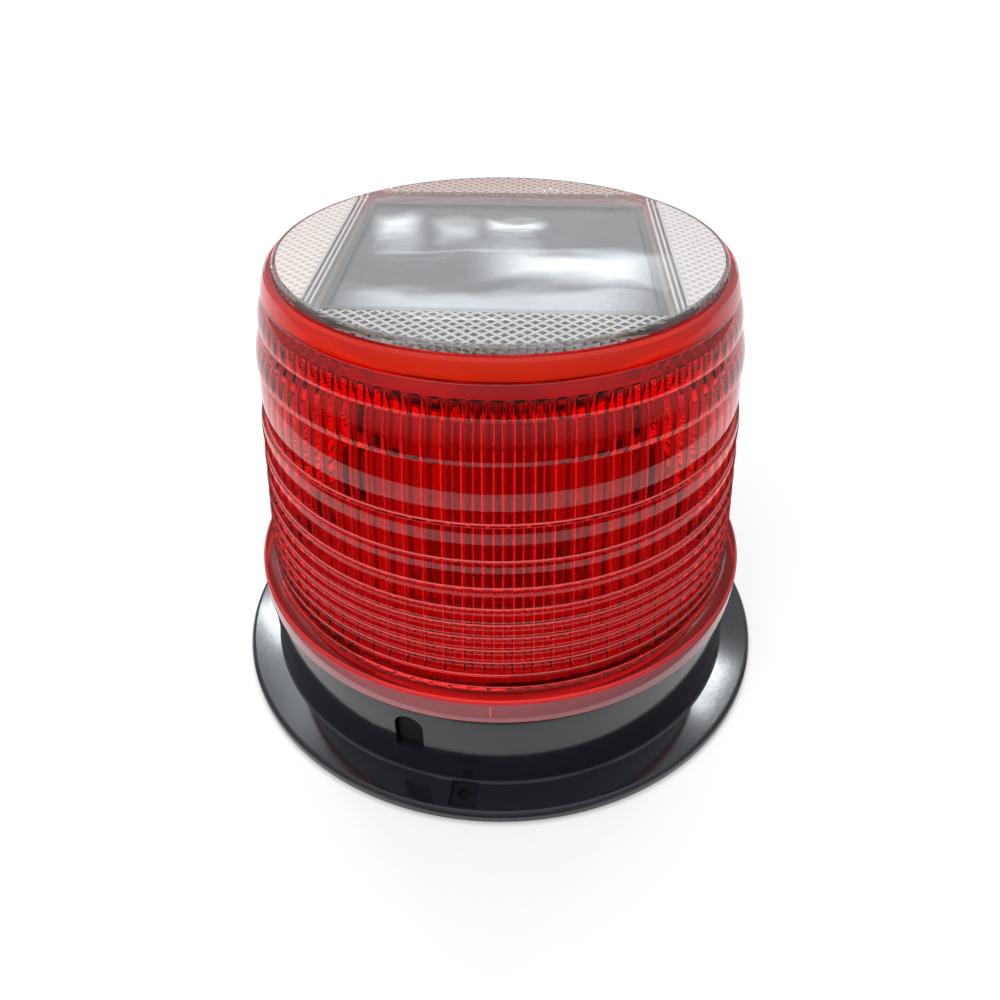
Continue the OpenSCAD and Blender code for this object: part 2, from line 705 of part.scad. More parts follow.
module battery_cells() {
  color([0.2, 0.5, 0.25]) for (s = [-1, 1])
    translate([0, battery_back + s * cell_y, battery_z]) rotate([0, 90 * s, 0]) rotate_extrude() polygon([
      [0, -cell_l / 2], [cell_r - 0.4, -cell_l / 2], [cell_r, -cell_l / 2 + 0.4], [cell_r, cell_l / 2 - 1.8],
      [cell_r - 0.6, cell_l / 2 - 1.2], [2.7, cell_l / 2 - 1.2], [2.7, cell_l / 2], [0, cell_l / 2]
    ]);
}

module battery_contacts() {
  reach = cell_l / 2 + battery_gap;
  color([0.75, 0.75, 0.75]) for (s = [-1, 1], t = [-1, 1])
    translate([s * (reach + contact_t / 2), battery_back + t * cell_y, battery_z])
      cube([contact_t, 10, 9], center = true);
}

module switch_body() {
  color([0.08, 0.08, 0.1]) difference() {
    button_block(switch_out - 8, switch_out, switch_side,
      arch_mid - switch_side / 2, arch_mid + switch_side / 2);
    rotate([0, 0, button_az]) translate([stem_in - button_travel - 0.4, 0, arch_mid]) rotate([0, 90, 0])
      cylinder(r = stem_r + stem_gap, h = 9);
  }
}

module panel_leads() {
  color([0.7, 0.06, 0.05]) for (s = [-1, 1]) lead(panel_route, [s * 0.9, 0, 0]);
}

module led_leads() {
  color([0.9, 0.9, 0.9]) for (s = [-1, 1]) lead(led_route, s * 0.8 * [lead_way[1], -lead_way[0], 0]);
}

module battery_leads() {
  color([0.7, 0.06, 0.05]) for (s = [-1, 1]) lead(battery_route, [s * 0.9, 0, 0]);
}

module switch_leads() {
  color([0.05, 0.05, 0.05]) for (s = [-1, 1]) lead(switch_route, s * 0.9 * button_side);
}

module red_lens() {
  color([0.75, 0.01, 0.02, 0.7]) difference() {
    union() {
      rotate_extrude() polygon(lens_section);
      for (k = [0 : lug_count - 1])
        sector(k * 360 / lug_count - lug_span / 2, lug_span, skirt_in - lug_reach, skirt_in + 0.5,
          shoulder_z + lug_lift, shoulder_z + lug_lift + lug_h);
      rotate([0, 0, -89]) translate([skirt_r - 0.5, -0.3, skirt_top - 4]) cube([0.7, 0.6, 2.6]);
    }
    for (k = [0 : flute_count - 1]) rotate([0, 0, k * 360 / flute_count])
      translate([inner_low - flute_r + flute_depth, 0, flute_low]) rotate([0, -inner_lean, 0])
        translate([0, 0, -flute_depth - 0.1]) cylinder(r = flute_r, h = flute_high - flute_low + 1.2);
  }
}

// Triangular ridges along one diagonal, hanging below z = 0
module ridges(turn, reach) {
  n = ceil(reach / prism_pitch);
  root = -0.05;
  teeth = [for (i = [-n : n - 1]) each [[i * prism_pitch, root], [(i + 0.5) * prism_pitch, -prism_h]]];
  rotate([90, 0, turn]) translate([0, 0, -reach]) linear_extrude(2 * reach)
    polygon(concat(teeth, [[n * prism_pitch, root], [n * prism_pitch, 0.4], [-n * prism_pitch, 0.4]]));
}

// Segment of the cover between the window edge and the rim band
module segment() {
  inner = window_half + prism_band;
  intersection() {
    translate([0, 0, -2]) cylinder(r = band_in, h = 4);
    translate([inner, -top_r, -2]) cube([top_r, 2 * top_r, 4]);
  }
}

module prism_field() {
  middle = (window_half + prism_band + band_in) / 2;
  reach = 0.65 * band_in;
  intersection() {
    intersection() {
      translate([middle, 0, 0]) ridges(45, reach);
      segment();
    }
    intersection() {
      translate([middle, 0, 0]) ridges(-45, reach);
      segment();
    }
  }
}

module top_cover() {
  color([0.9, 0.93, 0.95, 0.35]) {
    difference() {
      rotate_extrude() polygon([
        [0, plate_z], [band_in, plate_z], [band_in, seat_z], [top_r, seat_z],
        [top_r, top_z - 0.3], [top_r - 0.3, top_z], [0, top_z]
      ]);
      translate([-corner_half, -corner_half, seat_z - slack]) cube([corner_cut, corner_cut, band_h + slack]);
    }
    for (s = [-1, 1]) {
      for (n = [0, 1]) rail(s * (window_half + rail_w / 2 + n * rail_pitch), rail_w, 0.9);
      rotate([0, 0, 90]) rail(s * (window_half + rail_w / 2), rail_w, 0.6);
    }
    for (k = [0 : 3]) rotate([0, 0, 90 * k]) translate([0, 0, plate_z]) prism_field();
  }
}

// Guide rail under the plate at x, kept inside the rim band
module rail(x, w, h) {
  y = sqrt(pow(band_in + 0.2, 2) - pow(abs(x) + w / 2, 2));
  translate([x - w / 2, -y, plate_z - h]) cube([w, 2 * y, h + 0.4]);
}

module panel_tray() {
  color([0.92, 0.92, 0.9]) difference() {
    rotate_extrude() polygon([
      [tray_hole_r, tray_z], [tray_r, tray_z], [tray_r, tray_top], [tray_in, tray_top],
      [tray_in, panel_z], [tray_hole_r, panel_z]
    ]);
    translate([-corner_half, -corner_half, panel_z]) cube([corner_cut, corner_cut, band_h + 4]);
  }
}

// Rectangular plate centred on the panel
module panel_plate(width, depth, z, h) {
  translate([-width / 2, panel_y - depth / 2, z]) cube([width, depth, h]);
}

module panel_board() {
  color([0.75, 0.6, 0.4]) panel_plate(panel_side, panel_depth, panel_z, panel_t);
}

module solar_cells() {
  width = coat_side - 1;
  strip = width / cell_count;
  color([0.05, 0.06, 0.12]) difference() {
    panel_plate(width, coat_depth - 1, cells_z, cell_t);
    for (i = [1 : cell_count - 1])
      translate([-width / 2 + i * strip - cell_cut / 2, panel_y - coat_depth / 2, cells_z + cell_t / 2])
        cube([cell_cut, coat_depth, cell_t]);
  }
}

module panel_coat() {
  color([0.8, 0.85, 0.9, 0.3]) panel_plate(coat_side, coat_depth, coat_z, coat_t);
}

module panel_bond() {
  color([0.9, 0.9, 0.88]) difference() {
    panel_plate(coat_side, coat_depth, bond_z, bond_t);
    panel_plate(coat_side - 2 * bond_w, coat_depth - 2 * bond_w, bond_z - slack, bond_t + 2 * slack);
  }
}

module power_button() {
  w = arch_w - 2 * button_gap;
  h = arch_h - 2 * button_gap;
  foot = arch_z + button_gap;
  color([0.04, 0.04, 0.045]) union() {
    arch(w, h, foot, button_in, button_out);
    button_block(button_in, collar_out, w + 2, foot + 0.5, foot + h - w / 2);
  }
}

module switch_stem() {
  color([0.85, 0.85, 0.8]) rotate([0, 0, button_az]) translate([stem_in, 0, arch_mid]) rotate([0, 90, 0])
    cylinder(r = stem_r, h = button_in - stem_in);
}

base_housing();
bottom_cover();
bottom_seal();
bottom_screws();
lens_seal();
reflector_plate();
light_post();
post_screws();
led_boards();
led_packages();
main_board();
board_screws();
control_chip();
charge_coil();
capacitors();
connectors();
battery_holder();
battery_cells();
battery_contacts();
switch_body();
panel_leads();
led_leads();
battery_leads();
switch_leads();
red_lens();
top_cover();
panel_tray();
panel_board();
solar_cells();
panel_coat();
panel_bond();
power_button();
switch_stem();
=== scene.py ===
import json
import math

import bpy
import numpy as np
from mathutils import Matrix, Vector


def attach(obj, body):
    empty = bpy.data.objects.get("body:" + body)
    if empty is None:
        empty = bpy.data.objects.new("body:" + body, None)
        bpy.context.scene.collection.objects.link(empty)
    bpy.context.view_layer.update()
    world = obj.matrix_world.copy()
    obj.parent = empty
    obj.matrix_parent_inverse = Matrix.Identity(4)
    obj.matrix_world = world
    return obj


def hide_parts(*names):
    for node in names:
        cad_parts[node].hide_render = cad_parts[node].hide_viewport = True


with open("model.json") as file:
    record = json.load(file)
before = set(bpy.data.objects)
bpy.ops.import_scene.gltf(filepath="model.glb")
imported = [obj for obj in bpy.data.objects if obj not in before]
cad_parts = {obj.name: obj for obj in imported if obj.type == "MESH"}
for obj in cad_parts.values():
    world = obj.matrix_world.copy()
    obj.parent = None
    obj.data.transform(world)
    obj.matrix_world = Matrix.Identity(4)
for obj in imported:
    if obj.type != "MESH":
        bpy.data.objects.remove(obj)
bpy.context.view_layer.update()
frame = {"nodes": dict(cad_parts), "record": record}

mm = 0.001
nodes = frame["nodes"]
print("frame loaded", len(nodes), "nodes")


# Node helpers

# Node of a kind in a tree, with the given settings
def addNode(tree, kind, **values):
    made = tree.nodes.new(kind)
    for key, value in values.items():
        setattr(made, key, value)
    return made


# A node's inputs in order, each linked from a socket or set to a plain value
def feed(tree, made, *values):
    for socket, value in zip(made.inputs, values):
        if isinstance(value, bpy.types.NodeSocket):
            tree.links.new(value, socket)
        else:
            socket.default_value = value


# Result of one sum on sockets or numbers
def addMath(tree, operation, *values):
    made = addNode(tree, "ShaderNodeMath", operation=operation)
    feed(tree, made, *values)
    return made.outputs["Value"]


# A value's share of a span, carried to a new span
def addRange(tree, value, span, to=(0, 1), kind="LINEAR"):
    made = addNode(tree, "ShaderNodeMapRange", interpolation_type=kind)
    feed(tree, made, value, *span, *to)
    return made.outputs["Result"]


# Colour from a value by stops, as pairs of place and colour, the first at 0 and the last at 1
def addRamp(tree, value, pairs):
    made = addNode(tree, "ShaderNodeValToRGB")
    stops = made.color_ramp.elements
    stops[0].color = (*pairs[0][1], 1)
    stops[1].color = (*pairs[-1][1], 1)
    for at, color in pairs[1:-1]:
        stops.new(at).color = (*color, 1)
    feed(tree, made, value)
    return made.outputs["Color"]


# Object coordinates as x, y and z
def addAxes(tree):
    split = addNode(tree, "ShaderNodeSeparateXYZ")
    feed(tree, split, addNode(tree, "ShaderNodeTexCoord").outputs["Object"])
    return split.outputs


# Distance from the upright axis: the length of x and y
def addRadius(tree):
    axes = addAxes(tree)
    flat = addNode(tree, "ShaderNodeCombineXYZ")
    feed(tree, flat, axes["X"], axes["Y"])
    away = addNode(tree, "ShaderNodeVectorMath", operation="LENGTH")
    feed(tree, away, flat.outputs[0])
    return away.outputs["Value"]


# Noise of a scale and detail over a place
def addNoise(tree, place, scale, detail):
    made = addNode(tree, "ShaderNodeTexNoise")
    feed(tree, made, place, 0, scale, detail)
    return made.outputs["Fac"]


# Materials

grainSizes = {"wideScale": 35, "wideDetail": 3, "fineDetail": 2}


# Grain group: two noises of different size change colour and roughness and give a fine height
def makeGrainGroup():
    tree = bpy.data.node_groups.new("finishGrain", "ShaderNodeTree")
    face = tree.interface
    face.new_socket("Color", in_out="INPUT", socket_type="NodeSocketColor")
    for name in ("Vary", "Rough", "RoughVary", "Scale"):
        face.new_socket(name, in_out="INPUT", socket_type="NodeSocketFloat")
    face.new_socket("Color", in_out="OUTPUT", socket_type="NodeSocketColor")
    for name in ("Rough", "Height"):
        face.new_socket(name, in_out="OUTPUT", socket_type="NodeSocketFloat")
    given = addNode(tree, "NodeGroupInput").outputs
    place = addNode(tree, "ShaderNodeTexCoord").outputs["Object"]
    wide = addNoise(tree, place, grainSizes["wideScale"], grainSizes["wideDetail"])
    fine = addNoise(tree, place, given["Scale"], grainSizes["fineDetail"])
    centred = addMath(tree, "SUBTRACT", addMath(tree, "ADD", wide, fine), 1)
    swing = addMath(tree, "MULTIPLY_ADD", centred, given["Vary"], 1)
    tint = addNode(tree, "ShaderNodeVectorMath", operation="SCALE")
    tree.links.new(given["Color"], tint.inputs["Vector"])
    tree.links.new(swing, tint.inputs["Scale"])
    rough = addMath(tree, "MULTIPLY_ADD", centred, given["RoughVary"], given["Rough"])
    feed(tree, addNode(tree, "NodeGroupOutput"), tint.outputs["Vector"], rough, fine)
    return tree


grainGroup = makeGrainGroup()


# Colour by stops over a span, along one axis or by the distance from the upright axis
def addFade(tree, by, span, stops):
    along = addRadius(tree) if by == "radius" else addAxes(tree)[by]
    return addRamp(tree, addRange(tree, along, span), stops)


plainLook = {"vary": 0.1, "roughVary": 0.1, "scale": 900, "metal": 0, "ior": 1.49, "clear": 0}


# Material from a dictionary: colour and roughness pass through the grain group, the rest is set on the shader
def makeMaterial(name, look):
    look = plainLook | look
    material = bpy.data.materials.new(name)
    material.use_nodes = True
    tree = material.node_tree
    link = tree.links.new
    shader = tree.nodes["Principled BSDF"].inputs
    grain = addNode(tree, "ShaderNodeGroup", node_tree=grainGroup, name="grain")
    for socket, key in (("Vary", "vary"), ("Rough", "rough"), ("RoughVary", "roughVary"), ("Scale", "scale")):
        grain.inputs[socket].default_value = look[key]
    if "color" in look:
        grain.inputs["Color"].default_value = (*look["color"], 1)
    if "fade" in look:
        link(addFade(tree, **look["fade"]), grain.inputs["Color"])
    link(grain.outputs["Color"], shader["Base Color"])
    link(grain.outputs["Rough"], shader["Roughness"])
    if "bump" in look:
        bump = addNode(tree, "ShaderNodeBump")
        bump.inputs["Distance"].default_value = look["bump"] * mm
        link(grain.outputs["Height"], bump.inputs["Height"])
        link(bump.outputs["Normal"], shader["Normal"])
    for socket, key in (("Metallic", "metal"), ("IOR", "ior"), ("Transmission Weight", "clear")):
        shader[socket].default_value = look[key]
    return material


# Finishes by the record's slots; bump is in millimetres
looks = {
    "black_plastic": {
        "color": (0.010, 0.012, 0.017), "rough": 0.1, "roughVary": 0.05, "ior": 1.58, "bump": 0.004,
    },
    "black_rubber": {"color": (0.006, 0.006, 0.007), "rough": 0.55, "bump": 0.01, "ior": 1.3},
    "plated_steel": {"color": (0.6, 0.6, 0.62), "rough": 0.3, "metal": 1},
    "white_plastic": {"color": (0.9, 0.9, 0.88), "rough": 0.45},
    "board_white": {"color": (0.8, 0.81, 0.79), "rough": 0.4},
    "led_resin": {"color": (0.9, 0.82, 0.5), "rough": 0.2},
    "board_green": {"color": (0.03, 0.2, 0.08), "rough": 0.35},
    "chip_black": {"color": (0.02, 0.02, 0.02), "rough": 0.5},
    "coil_brown": {"color": (0.1, 0.07, 0.05), "rough": 0.5},
    "capacitor_sleeve": {"color": (0.04, 0.04, 0.16), "rough": 0.3},
    "connector_cream": {"color": (0.8, 0.77, 0.66), "rough": 0.45},
    "holder_black": {"color": (0.03, 0.03, 0.03), "rough": 0.45},
    "cell_sleeve": {"color": (0.07, 0.3, 0.11), "rough": 0.3},
    "lead_red": {"color": (0.5, 0.03, 0.02), "rough": 0.4},
    "lead_white": {"color": (0.8, 0.8, 0.8), "rough": 0.4},
    "lead_black": {"color": (0.02, 0.02, 0.02), "rough": 0.4},
    "red_clear_plastic": {
        "color": (0.97, 0.010, 0.010), "rough": 0.02, "roughVary": 0.02, "clear": 1, "vary": 0.03,
    },
    "clear_plastic": {
        "color": (0.985, 0.99, 0.99), "rough": 0.01, "roughVary": 0.01, "clear": 0.95, "vary": 0.01,
        "bump": 0.12, "scale": 30,
    },
    "board_tan": {"color": (0.6, 0.42, 0.24), "rough": 0.5},
    "solar_cell": {"color": (0.02, 0.025, 0.05), "rough": 0.25},
    "clear_resin": {"color": (0.97, 0.98, 0.98), "rough": 0.03, "clear": 1, "bump": 0.12, "scale": 45},
    "bond_tape": {"color": (0.16, 0.16, 0.165), "rough": 0.3},
}
# Finishes that differ from the rest of their slot; a fade's span is in metres
ownLooks = {
    # Painted shade: the plate is grey in the middle and white towards the edge
    "reflector_plate": {
        "rough": 0.45,
        "fade": {"by": "radius", "span": (0.005, 0.026), "stops": [
            (0, (0.45, 0.45, 0.45)), (1, (0.95, 0.95, 0.93)),
        ]},
    },
    "light_post": {"color": (0.4, 0.4, 0.4), "rough": 0.4},
    "led_boards": {"color": (0.2, 0.21, 0.2), "rough": 0.4},
    # Painted light: the white tray is white at the front and pinker towards the back, for red light from the
    # lens
    "panel_tray": {
        "rough": 0.45,
        "fade": {"by": "Y", "span": (-0.044, 0.042), "stops": [
            (0, (0.97, 0.95, 0.93)), (0.5, (0.97, 0.87, 0.81)), (1, (0.96, 0.5, 0.44)),
        ]},
    },
    # Painted light: the rim band is bright orange at the front and darker red towards the back
    "redRim": {
        "rough": 0.02, "roughVary": 0.02, "clear": 0.55, "vary": 0.3, "scale": 60,
        "fade": {"by": "Y", "span": (-0.047, -0.012), "stops": [
            (0, (1.0, 0.04, 0.002)), (0.35, (1.0, 0.025, 0.004)),
            (0.7, (0.9, 0.015, 0.01)), (1, (0.85, 0.015, 0.012)),
        ]},
    },
    # Painted highlight: pale pink on the outward corners of the rings
    "redEdgeHighlight": {"color": (0.95, 0.17, 0.16), "rough": 0.06, "roughVary": 0.02, "clear": 0.3},
    # Painted reflection and highlights: pale pink line at the bottom, pinkish grey band for the reflected
    # floor, bright red at the top edge
    "redSkirt": {
        "rough": 0.05, "roughVary": 0.03, "clear": 0.35, "vary": 0.08,
        "fade": {"by": "Z", "span": (0.0230, 0.0294), "stops": [
            (0, (1.0, 0.22, 0.2)), (0.07, (1.0, 0.12, 0.11)), (0.13, (0.58, 0.19, 0.21)),
            (0.84, (0.58, 0.19, 0.21)), (0.92, (0.85, 0.02, 0.02)), (1, (0.95, 0.03, 0.03)),
        ]},
    },
    # Painted shade: a dark red band on the shelf above the skirt
    "redShelf": {
        "color": (0.4, 0.006, 0.006), "rough": 0.04, "roughVary": 0.02, "clear": 0.5, "vary": 0.05,
        "ior": 1.25,
    },
}
materials = {name: makeMaterial(name, look) for name, look in (looks | ownLooks).items()}
for part in frame["record"]["subparts"]:
    shape = nodes[part["node"]]
    shape.data.materials.clear()
    shape.data.materials.append(materials.get(part["node"], materials[part["material_slot"]]))
print("materials made", len(materials))


# Mesh helpers

# Object from points in metres and faces, smooth but for edges sharper than the angle
def makePiece(name, points, faces, slot, body, sharp=35, replaces=()):
    mesh = bpy.data.meshes.new(name)
    mesh.from_pydata(points.tolist(), [], faces)
    mesh.validate()
    mesh.polygons.foreach_set("use_smooth", np.ones(len(mesh.polygons), bool))
    mesh.set_sharp_from_angle(angle=math.radians(sharp))
    mesh.materials.append(materials[slot])
    made = bpy.data.objects.new(name, mesh)
    bpy.context.scene.collection.objects.link(made)
    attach(made, body)
    if replaces:
        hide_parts(*replaces)
    return made


# Faces of an open grid of rows by columns
def gridFaces(rows, cols):
    r, c = np.meshgrid(np.arange(rows - 1), np.arange(cols - 1), indexing="ij")
    a = (r * cols + c).ravel()
    return np.stack([a, a + cols, a + cols + 1, a + 1], -1)


# Faces of a grid of rows by columns that closes round the columns
def ringFaces(rows, cols, start):
    r, c = np.meshgrid(np.arange(rows - 1), np.arange(cols), indexing="ij")
    a = start + r * cols + c
    b = start + r * cols + (c + 1) % cols
    return np.stack([a + cols, b + cols, b, a], -1).reshape(-1, 4)


# Points from turns and radii about the upright axis, and heights
def turnedPoints(radius, turn, height):
    return np.stack(np.broadcast_arrays(radius * np.cos(turn), radius * np.sin(turn), height), -1)


# Polyline with each corner over the sharp angle made a parabola; marks the corners that stand outward
def roundCorners(line, radius, sharp=25, most=0.45, steps=4):
    line = np.array(line)
    here = line[1:-1, None]
    u, v = line[:-2, None] - here, line[2:, None] - here
    before, after = np.linalg.norm(u, axis=-1, keepdims=True), np.linalg.norm(v, axis=-1, keepdims=True)
    u, v = u / before, v / after
    turn = math.pi - np.arccos(np.clip((u * v).sum(-1, keepdims=True), -1, 1))
    bent = turn >= math.radians(sharp)
    reach = np.minimum(radius * np.tan(turn / 2), most * np.minimum(before, after)) * bent
    t = np.linspace(0, 1, steps + 1)[:, None]
    arcs = (1 - t) ** 2 * (here + u * reach) + 2 * t * (1 - t) * here + t * t * (here + v * reach)
    kept = (bent | (t == 0))[..., 0]
    outward = u[..., :1] * v[..., 1:] < u[..., 1:] * v[..., :1]
    marks = (bent & outward & (t < 1))[..., 0]
    return np.concatenate([line[:1], arcs[kept], line[-1:]]), np.concatenate([[False], marks[kept], [False]])


# Points from p to q pushed outward by a parabola of the given sag
def bowLine(p, q, sag, steps=6):
    p, q = np.array(p), np.array(q)
    d = q - p
    side = np.array([-d[1], d[0]]) / np.linalg.norm(d)
    t = np.linspace(0, 1, steps + 1)[:, None]
    return list(p + d * t + side * (4 * sag * t * (1 - t)))


# Red lens: ring profile turned round the axis outside, flutes round the inside, in millimetres and degrees

lens = {
    "centre": 11.6, "first": 7.4, "ratio": 0.8, "least": 3.1, "up": 2, "down": 8,
    "step": 0.8, "lowStep": 0.45, "stepDrop": 0.1, "edge": 49.5, "draftDown": 5.5, "draftUp": 12.8,
    "bow": 0.33, "upBow": 0.6, "centreBow": 0.52, "rimBow": 0.1, "centreSteps": 10, "round": 0.22,
    "rimH": 3.8, "rimIn": 0.9, "rimEdge": (0.3, 0.5), "rimWall": 1.5, "rimLip": 2,
    "topGap": 0.15, "seatDrop": 1.6, "glue": 0.06, "ledgeIn": 0.7, "ledgeLow": 1.9, "ledgeHigh": 0.9,
    "skirtR": 57.2, "skirtIn": 54.2, "skirtLow": 23.0, "skirtTop": 29.4, "skirtCut": 0.4,
    "bend": 1, "bendFrom": 85, "bendSteps": 5,
    "footH": 3.8, "footRise": 0.8, "shelfOut": 0.6, "shelfRise": 0.1, "shelfWall": 0.4, "wall": 2.3,
    "flutes": 84, "fluteR": 1.3, "fluteDepth": 0.6, "fluteDrop": 8.0, "fluteLow": 0.4, "coneGap": 0.1,
    "runIn": (0.7, 0.6), "runOut": 0.8, "runRows": 5, "coneEnds": 2, "coneRows": 6,
    "fluteCols": 9, "landCols": 3, "outerCols": 336,
    "lugs": 3, "lugSpan": 9, "lugReach": 1.6, "lugLow": 25.2, "lugHigh": 27.2, "lugEdge": 0.02,
    "rimFrom": 92.9, "rimInside": 90.5, "shelfBand": (-0.05, 0.2), "sharp": 30,
}
lens["heights"] = [lens["first"] * lens["ratio"] ** n for n in range(lens["down"])]
lens["heights"] = [max(lens["least"], height) for height in lens["heights"]]
lens["foot"] = lens["skirtTop"] + lens["footH"]
lens["low"] = lens["foot"] + sum(lens["heights"])
lens["top"] = lens["low"] + lens["centre"]
lens["rim"] = lens["top"] + sum(lens["heights"][:lens["up"]]) + lens["rimH"]
lens["seatZ"] = lens["rim"] - lens["seatDrop"]
# Plain red glass first, then the finishes with painted light, highlight, reflection and shade
lensFinishes = ("red_clear_plastic", "redRim", "redEdgeHighlight", "redSkirt", "redShelf")


# Edge radius falls with height, at the lower draft below the centre ring's top and the upper draft above it
def edgeRadius(z):
    top = lens["top"]
    slope = math.tan(math.radians(lens["draftUp"] if z > top else lens["draftDown"]))
    return lens["edge"] - (z - top) * slope


# Outside of the lens from the rim down: each ring is a bowed line that ends a step inside the next edge
def lensOutline():
    heights, top, low, rim = lens["heights"], lens["top"], lens["low"], lens["rim"]
    ups = [top + sum(heights[:n]) for n in range(lens["up"] + 1)]
    downs = [low - sum(heights[:n]) for n in range(lens["down"] + 1)]
    step, lowStep, drop = lens["step"], lens["lowStep"], lens["stepDrop"]
    rimR, (edgeIn, edgeDrop) = edgeRadius(rim), lens["rimEdge"]
    line = [(rimR - lens["rimIn"], rim)]
    line += bowLine((rimR - edgeIn, rim - edgeDrop), (edgeRadius(ups[-1]), ups[-1]), lens["rimBow"])
    for n in range(lens["up"], 0, -1):
        start = (edgeRadius(ups[n]) - step, ups[n] - drop)
        line += bowLine(start, (edgeRadius(ups[n - 1]), ups[n - 1]), lens["upBow"])
    centre = (edgeRadius(top) - step, top - drop), (edgeRadius(low) - step, low + drop)
    line += bowLine(*centre, lens["centreBow"], lens["centreSteps"])
    for n in range(lens["down"]):
        end = (edgeRadius(downs[n + 1]) - lowStep, downs[n + 1] + drop)
        line += bowLine((edgeRadius(downs[n]), downs[n]), end, lens["bow"])
    foot = edgeRadius(downs[-1])
    skirtR, skirtTop, skirtLow = lens["skirtR"], lens["skirtTop"], lens["skirtLow"]
    line += [(foot, downs[-1]), (foot, skirtTop + lens["footRise"])]
    line += [(foot + lens["shelfOut"], skirtTop + lens["shelfRise"])]
    bend, turn = lens["bend"], np.radians(np.linspace(lens["bendFrom"], 0, lens["bendSteps"] + 1))
    line += list(np.stack([skirtR + bend * (np.cos(turn) - 1), skirtTop + bend * (np.sin(turn) - 1)], -1))
    line += [(skirtR, skirtLow + lens["skirtCut"]), (skirtR - lens["skirtCut"], skirtLow)]
    return *roundCorners(line, lens["round"]), foot


# Inside of the lens from the skirt foot up, as radius, height and a mark: 1 on the fluted cone, 2 on a lug
def lensInside(foot):
    low, high = lens["foot"] - lens["fluteLow"], lens["rim"] - lens["fluteDrop"]
    skirtIn, footIn, shelf = lens["skirtIn"], foot - lens["wall"], lens["skirtTop"] - lens["shelfWall"]
    lugLow, lugHigh, lugEdge = lens["lugLow"], lens["lugHigh"], lens["lugEdge"]
    rimR = edgeRadius(lens["rim"])
    innerTop = rimR - lens["rimWall"]
    seat = rimR - lens["rimLip"] + lens["topGap"]
    ledge = rimR - lens["rimLip"] - lens["ledgeIn"]
    (runIn, runUp), runOut = lens["runIn"], lens["runOut"]
    run = np.linspace(0, 1, lens["runRows"])
    between = np.linspace(low + lens["coneEnds"], high - lens["coneEnds"], lens["coneRows"])
    rows = [(skirtIn, lens["skirtLow"], 0), (skirtIn, lugLow - lugEdge, 0)]
    rows += [(skirtIn, lugLow, 2), (skirtIn, lugHigh, 2)]
    rows += [(skirtIn, lugHigh + lugEdge, 0), (skirtIn, shelf, 0), (footIn, shelf, 0)]
    rows += [(footIn - runIn * t, low - runUp * (1 - t), 1) for t in run]
    rows += [(0, z, 1) for z in between]
    rows += [(innerTop + runOut * t, high + runOut * t, 1) for t in run]
    seatZ, seatTop = lens["seatZ"], lens["seatZ"] - lens["glue"]
    rows += [(innerTop + runOut, seatZ - lens["ledgeLow"], 0), (ledge, seatZ - lens["ledgeHigh"], 0)]
    rows += [(ledge, seatTop, 0), (seat, seatTop, 0), (seat, lens["rim"], 0)]
    cone = footIn - lens["fluteDepth"] - lens["coneGap"]
    return np.array(rows), (low, cone), (high, innerTop)


# Inner surface: each flute is a circle's arc cut into the cone, with a land after it; lugs stand inward
def fluteSurface(rows, lowEnd, highEnd):
    (lowZ, lowR), (highZ, highR) = lowEnd, highEnd
    plain, z, mark = rows.T[:, :, None]
    cone = lowR + (highR - lowR) * (z - lowZ) / (highZ - lowZ)
    fluteR, depth, flutes = lens["fluteR"], lens["fluteDepth"], lens["flutes"]
    half = math.sqrt(fluteR ** 2 - (fluteR - depth) ** 2)
    across = np.linspace(-1, 1, lens["fluteCols"])
    land = np.linspace(0, 1, lens["landCols"] + 2)[1:-1]
    cut = np.concatenate([np.sqrt(fluteR ** 2 - (half * across) ** 2) - fluteR + depth, 0 * land])
    pitch = 2 * math.pi / flutes
    edgeTurn = half / np.where(mark == 1, cone, plain)
    local = np.concatenate([edgeTurn * across, edgeTurn + (pitch - 2 * edgeTurn) * land], 1)
    turn = (local[:, None, :] + pitch * np.arange(flutes)[:, None]).reshape(len(rows), -1)
    radius = np.where(mark == 1, np.maximum(cone + np.tile(cut, flutes), plain), plain)
    lugTurn = 2 * math.pi / lens["lugs"]
    fromLug = np.abs((turn + lugTurn / 2) % lugTurn - lugTurn / 2)
    onLug = (mark == 2) & (fromLug < math.radians(lens["lugSpan"] / 2))
    return turnedPoints(np.where(onLug, radius - lens["lugReach"], radius), turn, z)


# Finish of each outer row by its height and mark, and of each inner row by its height; the rim, skirt and
# shelf finishes hold painted light, reflection and shade, the marked outward corners a painted highlight
def lensFinish(outline, marks, z):
    glass, rim, edge, skirt, shelf = range(len(lensFinishes))
    shelfLow, shelfHigh = np.array(lens["shelfBand"]) + lens["skirtTop"]
    height = (outline[:-1, 1] + outline[1:, 1]) / 2
    tests = [height > lens["rimFrom"], height < shelfLow, height < shelfHigh, marks[:-1]]
    outside = np.select(tests, [rim, skirt, shelf, edge], glass)
    inside = np.where((z[:-1] + z[1:]) / 2 > lens["rimInside"], rim, glass)
    return outside, inside


